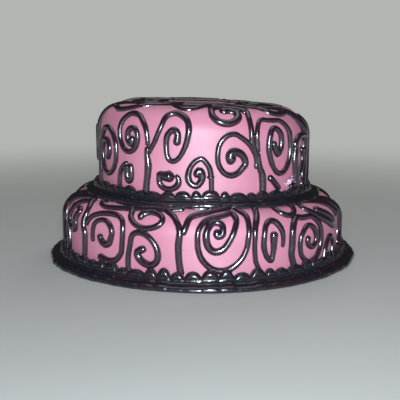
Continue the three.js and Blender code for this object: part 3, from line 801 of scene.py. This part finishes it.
def icing_material(name, shades, coat, grit):
    """Glossy black icing under a coat, rippled, and gritty by the given strength"""
    shader = Shader(name)
    cloudy = shader.noise(60, detail=3)
    ripple = shader.noise(420)
    fine = shader.bump(shader.noise(1300), distance=0.0003, strength=grit)
    return shader.finish({
        "Base Color": shader.blend(shader.step(cloudy, low=0.4, high=0.68), *shades),
        "Roughness": 0.33 + 0.12 * cloudy,
        "Normal": shader.bump(ripple, distance=0.0012, strength=0.75, under=fine),
        "Specular IOR Level": 0.15,
        "Specular Tint": (0.66, 0.74, 1, 1),
        "Coat Weight": coat,
        "Coat Roughness": 0.1,
        "Coat IOR": 1.85,
    })


def flake_material():
    """Torn bits of fondant, pale, with dark red spots painted on them as the shade between the bits
    """
    shader = Shader("torn_fondant")
    mixed = shader.step(shader.noise(520), low=0.38, high=0.62)
    # Spots where dark red is painted as the shade between the flakes
    shaded_bits = shader.step(shader.noise(430), low=0.52, high=0.57)
    return shader.finish({
        "Base Color": shader.blend(shaded_bits, shader.blend(mixed, *FLAKE_PINKS), FLAKE_PAINTED_SHADE),
        "Roughness": 0.3,
        "Normal": shader.bump(shader.noise(1500), distance=0.0003, strength=0.4),
    })


def floor_material():
    """A pale floor that fades into the room"""
    shader = Shader("pale_floor")
    pale = shader.blend(shader.noise(3), *FLOOR_GREYS)
    far = shader.step(shader.away_from((0, 0, 0)), *FLOOR_FADE)
    room_seen = tuple(part * ROOM_SEEN for part in ROOM_COLOUR) + (1,)
    return shader.finish({
        "Base Color": shader.blend(far, pale, DARK),
        "Roughness": 0.8,
        "Specular IOR Level": 0,
        "Emission Color": shader.blend(far, DARK, room_seen),
        "Emission Strength": 1,
    })


# Camera, floor and light: places and sizes in metres, the pitch in degrees below level and the
# sensor in mm

CAMERA_PLACE = (-0.0019, -0.551, 0.1376)
CAMERA_PITCH = 10.18
CAMERA_NEAR = 0.01
FOCAL_PIXELS = 724
FRAME_PIXELS = 400
SENSOR = 36
# Strength of the soft room as it lights the cake, as it is seen and as it is mirrored
ROOM_LIGHT = 0.2
ROOM_SEEN = 0.62
ROOM_MIRRORED = 0.03
ROOM_COLOUR = (0.72, 0.75, 0.7)
FLOOR_SIZE = 3
# Distances from the cake between which the floor fades into the room
FLOOR_FADE = (0.25, 0.9)
# Spot that all lights are turned to
LIT_SPOT = (0, 0, 0.06)
# The key and the glow light the front. The back light isn't seen mirrored, and the streak,
# which makes long glints on the icing, is seen only so.
LIGHTS = [
    {"name": "key", "place": (0.01, -0.62, 0.16), "size": (0.05, 0.1), "watts": 2.9,
     "colour": (0.93, 1, 1.07), "lights": True, "mirrored": True},
    {"name": "glow", "place": (0, -0.75, 0.2), "size": (0.32, 0.32), "watts": 1.85,
     "colour": (0.84, 1.02, 1.16), "lights": True, "mirrored": True},
    {"name": "top", "place": (0, 0.15, 1.3), "size": (1, 1), "watts": 3.5,
     "colour": (1, 1, 1), "lights": True, "mirrored": True},
    {"name": "back", "place": (0.4, 1.3, 0.6), "size": (0.8, 0.8), "watts": 6,
     "colour": (0.97, 0.98, 1), "lights": True, "mirrored": False},
    {"name": "streak", "place": (0, -0.62, 0.05), "size": (0.25, 0.03), "watts": 0.5,
     "colour": (0.93, 1, 1.07), "lights": False, "mirrored": True},
]


def camera():
    data = bpy.data.cameras.new("camera")
    data.sensor_width = SENSOR
    data.lens = FOCAL_PIXELS / FRAME_PIXELS * SENSOR
    data.clip_start = CAMERA_NEAR
    holder = bpy.data.objects.new("camera", data)
    holder.location = CAMERA_PLACE
    holder.rotation_euler = (math.radians(90 - CAMERA_PITCH), 0, 0)
    bpy.context.scene.collection.objects.link(holder)
    bpy.context.scene.camera = holder


def floor():
    bm = bmesh.new()
    bmesh.ops.create_grid(bm, x_segments=1, y_segments=1, size=FLOOR_SIZE)
    mesh = bpy.data.meshes.new("floor")
    bm.to_mesh(mesh)
    bm.free()
    mesh.materials.append(floor_material())
    piece = bpy.data.objects.new("floor", mesh)
    bpy.context.scene.collection.objects.link(piece)


def area_light(light):
    """One of the lights, turned to the cake"""
    data = bpy.data.lights.new(light["name"], "AREA")
    data.shape = "RECTANGLE"
    data.size, data.size_y = light["size"]
    data.energy = light["watts"]
    data.color = light["colour"]
    holder = bpy.data.objects.new(light["name"], data)
    holder.location = light["place"]
    way = Vector(LIT_SPOT) - Vector(light["place"])
    holder.rotation_euler = way.to_track_quat("-Z", "Y").to_euler()
    holder.visible_diffuse = light["lights"]
    holder.visible_glossy = light["mirrored"]
    bpy.context.scene.collection.objects.link(holder)


def room():
    """A soft room of one colour, with its own strength for each kind of ray"""
    world = bpy.data.worlds.new("soft_room")
    world.use_nodes = True
    tree = world.node_tree
    sky = tree.nodes["Background"]
    sky.inputs["Color"].default_value = (*ROOM_COLOUR, 1)
    rays = tree.nodes.new("ShaderNodeLightPath")
    strength = None
    for kind, level in (("Is Diffuse Ray", ROOM_LIGHT), ("Is Camera Ray", ROOM_SEEN)):
        mix = tree.nodes.new("ShaderNodeMix")
        mix.inputs["A"].default_value = ROOM_MIRRORED
        mix.inputs["B"].default_value = level
        tree.links.new(rays.outputs[kind], mix.inputs["Factor"])
        if strength:
            tree.links.new(strength, mix.inputs["A"])
        strength = mix.outputs["Result"]
    tree.links.new(strength, sky.inputs["Strength"])
    bpy.context.scene.world = world


def studio():
    camera()
    floor()
    for light in LIGHTS:
        area_light(light)
    room()
    bpy.context.scene.view_settings.view_transform = "Standard"


def cake():
    fondant = fondant_material()
    line_icing = icing_material("line_icing", LINE_BLACKS, coat=1, grit=0.2)
    shell_icing = icing_material("shell_icing", SHELL_BLACKS, coat=0.6, grit=0.5)
    # The lower lines end under the upper border, and the upper ones run all over the top
    ledge = shoulder_end(LOWER) + LEDGE_REACH
    all_over = 2 * UPPER["radius"]
    fondant_tier("lower_fondant", LOWER, fondant, "lower_tier")
    fondant_tier("upper_fondant", UPPER, fondant, "upper_tier")
    scrolls("lower_scrolls", LOWER, LOWER_SCROLLS, LOWER_SHELLS, ledge, line_icing, "lower_tier")
    scrolls("upper_scrolls", UPPER, UPPER_SCROLLS, UPPER_SHELLS, all_over, line_icing,
            "upper_tier")
    shells("lower_shells", LOWER, LOWER_SHELLS, shell_icing, "lower_border")
    shells("upper_shells", UPPER, UPPER_SHELLS, shell_icing, "upper_border")
    torn_flakes("torn_flakes", UPPER, flake_material(), "upper_tier")


studio()
cake()
